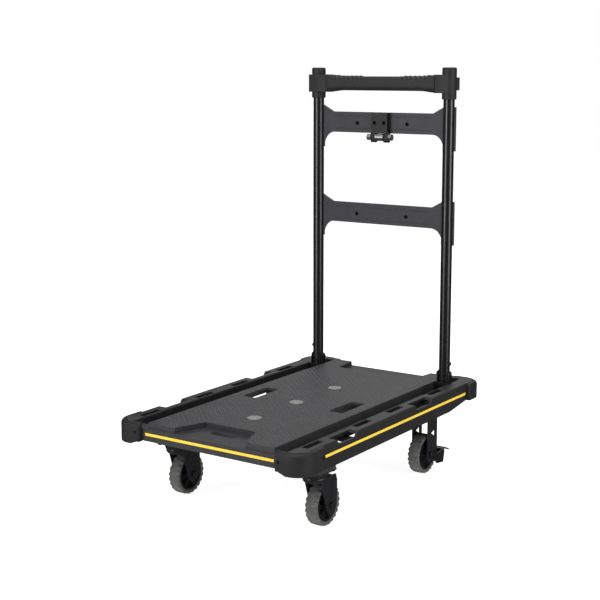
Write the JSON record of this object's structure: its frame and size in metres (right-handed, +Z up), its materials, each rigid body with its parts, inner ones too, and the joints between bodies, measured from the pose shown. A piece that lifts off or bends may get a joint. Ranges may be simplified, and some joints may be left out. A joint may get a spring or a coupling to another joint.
{
  "type": "folding platform cart",
  "caption": "Low platform hand cart with a slotted moulded deck, swivel and fixed casters, corner bumpers and a fold-down tube handle with cross braces.",
  "frame": {"origin": "on the floor, under the middle of the cart's outline", "axes": "+Z up, +Y towards the handle end, +X to the right of a person looking from the front end towards the handle"},
  "size_m": [0.532, 0.836, 1.019],
  "materials": {
    "deck_plastic": "fine textured charcoal moulding",
    "rail_plastic": "satin black moulding",
    "bumper_rubber": "matte black rubber",
    "yellow_strip": "smooth yellow inlay",
    "pale_pad": "matte pale grey",
    "black_tube": "glossy black paint",
    "black_steel": "satin black paint",
    "grip_plastic": "satin black moulding",
    "brace_steel": "satin dark grey paint",
    "zinc": "bright zinc plate",
    "fork_steel": "satin charcoal paint",
    "hub_plastic": "black moulding",
    "tyre_rubber": "matte grey rubber"
  },
  "bodies": {
    "base": {"deck": "deck_plastic", "side_rail_left": "rail_plastic", "side_rail_right": "rail_plastic", "bumper_front_left": "bumper_rubber", "bumper_front_right": "bumper_rubber", "bumper_rear_left": "bumper_rubber", "bumper_rear_right": "bumper_rubber", "strip_left": "yellow_strip", "strip_right": "yellow_strip", "strip_front": "yellow_strip", "pad_front": "pale_pad", "pad_middle": "pale_pad", "pad_rear": "pale_pad", "hinge_bracket_left": "black_steel", "hinge_bracket_right": "black_steel", "pivot_bolt_left": "black_steel", "pivot_bolt_right": "black_steel", "front_left_plate": "fork_steel", "front_right_plate": "fork_steel", "front_left_raceway": "fork_steel", "front_right_raceway": "fork_steel", "rear_left_fork": "fork_steel", "rear_right_fork": "fork_steel", "rear_left_axle": "zinc", "rear_right_axle": "zinc"},
    "handle": {"post_left": "black_tube", "post_right": "black_tube", "sleeve_left": "grip_plastic", "sleeve_right": "grip_plastic", "grip_bar": "grip_plastic", "grip_end_left": "grip_plastic", "grip_end_right": "grip_plastic", "upper_brace": "brace_steel", "lower_brace": "brace_steel", "hitch_block": "black_steel", "hitch_screw_left": "black_steel", "hitch_screw_right": "black_steel", "hitch_bolt": "zinc", "hitch_nut": "zinc", "hitch_spacer": "zinc"},
    "front_left_swivel_body": {"front_left_fork": "fork_steel", "front_left_axle": "zinc"},
    "front_right_swivel_body": {"front_right_fork": "fork_steel", "front_right_axle": "zinc"},
    "front_left_wheel": {"front_left_hub": "hub_plastic", "front_left_tyre": "tyre_rubber"},
    "front_right_wheel": {"front_right_hub": "hub_plastic", "front_right_tyre": "tyre_rubber"},
    "rear_left_wheel": {"rear_left_hub": "hub_plastic", "rear_left_tyre": "tyre_rubber"},
    "rear_right_wheel": {"rear_right_hub": "hub_plastic", "rear_right_tyre": "tyre_rubber"},
    "rear_left_brake_body": {"rear_left_brake": "black_steel"},
    "rear_right_brake_body": {"rear_right_brake": "black_steel"},
    "lock_left": {"lock_button_left": "black_steel"},
    "lock_right": {"lock_button_right": "black_steel"}
  },
  "joints": [
    {"name": "handle_fold", "type": "hinge", "parent": "base", "child": "handle", "pos_m": [0, 0.336, 0.2335], "axis": [1, 0, 0], "range_deg": [0, 90]},
    {"name": "front_left_swivel", "type": "hinge", "parent": "base", "child": "front_left_swivel_body", "pos_m": [-0.197, -0.272, 0.12], "axis": [0, 0, 1], "continuous": true},
    {"name": "front_left_roll", "type": "hinge", "parent": "front_left_swivel_body", "child": "front_left_wheel", "pos_m": [-0.197, -0.24, 0.05], "axis": [1, 0, 0], "continuous": true},
    {"name": "rear_left_roll", "type": "hinge", "parent": "base", "child": "rear_left_wheel", "pos_m": [-0.197, 0.222, 0.05], "axis": [1, 0, 0], "continuous": true},
    {"name": "rear_left_brake_press", "type": "hinge", "parent": "base", "child": "rear_left_brake_body", "pos_m": [-0.197, 0.242, 0.045], "axis": [-1, 0, 0], "range_deg": [0, 12]},
    {"name": "lock_left_press", "type": "slide", "parent": "handle", "child": "lock_left", "axis": [1, 0, 0], "range_m": [0, 0.004], "stiffness_N_per_m": 800, "springref_m": -0.002},
    {"name": "front_right_swivel", "type": "hinge", "parent": "base", "child": "front_right_swivel_body", "pos_m": [0.197, -0.272, 0.12], "axis": [0, 0, 1], "continuous": true},
    {"name": "front_right_roll", "type": "hinge", "parent": "front_right_swivel_body", "child": "front_right_wheel", "pos_m": [0.197, -0.24, 0.05], "axis": [1, 0, 0], "continuous": true},
    {"name": "rear_right_roll", "type": "hinge", "parent": "base", "child": "rear_right_wheel", "pos_m": [0.197, 0.222, 0.05], "axis": [1, 0, 0], "continuous": true},
    {"name": "rear_right_brake_press", "type": "hinge", "parent": "base", "child": "rear_right_brake_body", "pos_m": [0.197, 0.242, 0.045], "axis": [-1, 0, 0], "range_deg": [0, 12]},
    {"name": "lock_right_press", "type": "slide", "parent": "handle", "child": "lock_right", "axis": [-1, 0, 0], "range_m": [0, 0.004], "stiffness_N_per_m": 800, "springref_m": -0.002}
  ]
}
